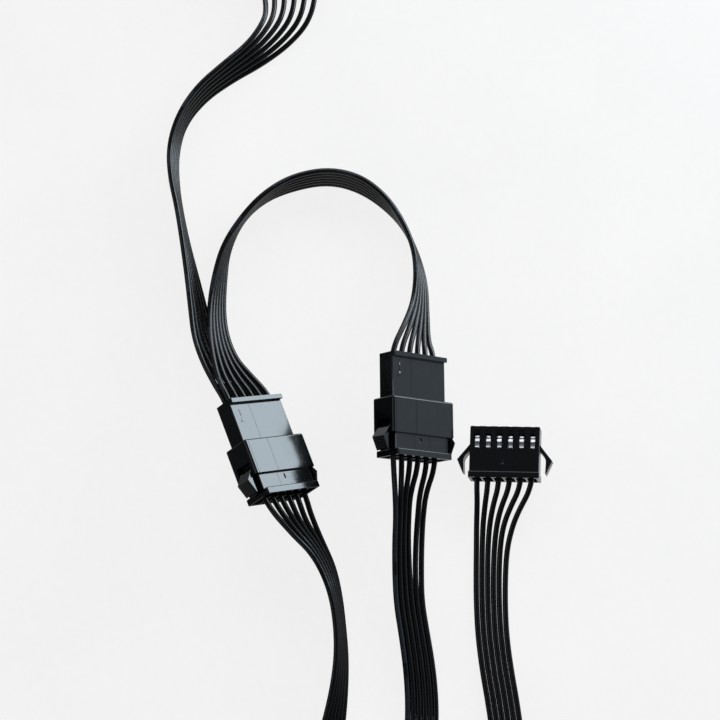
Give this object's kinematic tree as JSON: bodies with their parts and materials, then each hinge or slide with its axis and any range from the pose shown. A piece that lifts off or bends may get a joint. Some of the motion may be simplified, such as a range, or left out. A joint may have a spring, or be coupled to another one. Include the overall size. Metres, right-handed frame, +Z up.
{
  "type": "plug-in wiring harness",
  "caption": "Black low-voltage wiring harness on a table: ribbon leads join locking plugs and sockets in line, with a spare plug and loose tails of wire beside them.",
  "frame": {"origin": "on the table, under the middle of the connectors' common box, measured without the wires", "axes": "+Z up from the table, +Y away from the loose ends of the tails towards the open socket, +X to the right of a person who faces +Y"},
  "size_m": [0.0881, 0.2252, 0.0184],
  "materials": {
    "housing": "satin moulded black nylon with a blue-grey sheen",
    "wire": "glossy black PVC insulation, with pale dashes on the first wire of each ribbon",
    "contact": "bright tin plate on a copper alloy",
    "tinned_wire": "stranded copper, twisted and tinned"
  },
  "bodies": {
    "harness": {"socket_a_housing": "housing", "socket_a_pins": "contact", "socket_b_housing": "housing", "socket_b_pins": "contact", "socket_c_housing": "housing", "socket_c_pins": "contact", "loop_wire_1": "wire", "loop_wire_2": "wire", "loop_wire_3": "wire", "loop_wire_4": "wire", "loop_wire_5": "wire", "loop_wire_6": "wire", "feed_wire_1": "wire", "feed_wire_2": "wire", "feed_wire_3": "wire", "feed_wire_4": "wire", "feed_wire_5": "wire", "feed_wire_6": "wire"},
    "plug_a": {"plug_a_housing": "housing", "plug_a_contacts": "contact", "tail_a_wire_1": "wire", "tail_a_wire_2": "wire", "tail_a_wire_3": "wire", "tail_a_wire_4": "wire", "tail_a_wire_5": "wire", "tail_a_wire_6": "wire", "tail_a_ends": "tinned_wire"},
    "plug_b": {"plug_b_housing": "housing", "plug_b_contacts": "contact", "tail_b_wire_1": "wire", "tail_b_wire_2": "wire", "tail_b_wire_3": "wire", "tail_b_wire_4": "wire", "tail_b_wire_5": "wire", "tail_b_wire_6": "wire", "tail_b_ends": "tinned_wire"},
    "plug_c": {"plug_c_housing": "housing", "plug_c_contacts": "contact", "tail_c_wire_1": "wire", "tail_c_wire_2": "wire", "tail_c_wire_3": "wire", "tail_c_wire_4": "wire", "tail_c_wire_5": "wire", "tail_c_wire_6": "wire", "tail_c_ends": "tinned_wire"},
    "plug_a_latch_left": {"plug_a_latch_left": "housing"},
    "plug_a_latch_right": {"plug_a_latch_right": "housing"},
    "plug_b_latch_left": {"plug_b_latch_left": "housing"},
    "plug_b_latch_right": {"plug_b_latch_right": "housing"},
    "plug_c_latch_left": {"plug_c_latch_left": "housing"},
    "plug_c_latch_right": {"plug_c_latch_right": "housing"}
  },
  "joints": [
    {"name": "unplug_a", "type": "slide", "parent": "harness", "child": "plug_a", "axis": [0.3534, -0.9304, 0.0976], "range_m": [0, 0.008]},
    {"name": "unplug_b", "type": "slide", "parent": "harness", "child": "plug_b", "axis": [0.0096, -1, 0], "range_m": [0, 0.008]},
    {"name": "spare_plug_lift", "type": "slide", "parent": "harness", "child": "plug_c", "axis": [0, 0, 1], "range_m": [0, 0.05]},
    {"name": "latch_a_left", "type": "hinge", "parent": "plug_a", "child": "plug_a_latch_left", "pos_m": [-0.03065, -0.06414, 0.01505], "axis": [0.6281, 0.3133, 0.7123], "range_deg": [0, 8], "stiffness_Nm_per_rad": 0.02},
    {"name": "latch_a_right", "type": "hinge", "parent": "plug_a", "child": "plug_a_latch_right", "pos_m": [-0.01913, -0.06098, 0.0035], "axis": [-0.6281, -0.3133, -0.7123], "range_deg": [0, 8], "stiffness_Nm_per_rad": 0.02},
    {"name": "latch_b_left", "type": "hinge", "parent": "plug_b", "child": "plug_b_latch_left", "pos_m": [-0.0001, -0.0536, 0.01375], "axis": [0.6401, 0.0061, 0.7683], "range_deg": [0, 8], "stiffness_Nm_per_rad": 0.02},
    {"name": "latch_b_right", "type": "hinge", "parent": "plug_b", "child": "plug_b_latch_right", "pos_m": [0.01267, -0.05348, 0.00311], "axis": [-0.6401, -0.0061, -0.7683], "range_deg": [0, 8], "stiffness_Nm_per_rad": 0.02},
    {"name": "latch_c_left", "type": "hinge", "parent": "plug_c", "child": "plug_c_latch_left", "pos_m": [0.01876, -0.05745, 0.00367], "axis": [-0.1477, 0.0062, 0.989], "range_deg": [0, 8], "stiffness_Nm_per_rad": 0.02},
    {"name": "latch_c_right", "type": "hinge", "parent": "plug_c", "child": "plug_c_latch_right", "pos_m": [0.03518, -0.05814, 0.00612], "axis": [0.1477, -0.0062, -0.989], "range_deg": [0, 8], "stiffness_Nm_per_rad": 0.02}
  ]
}
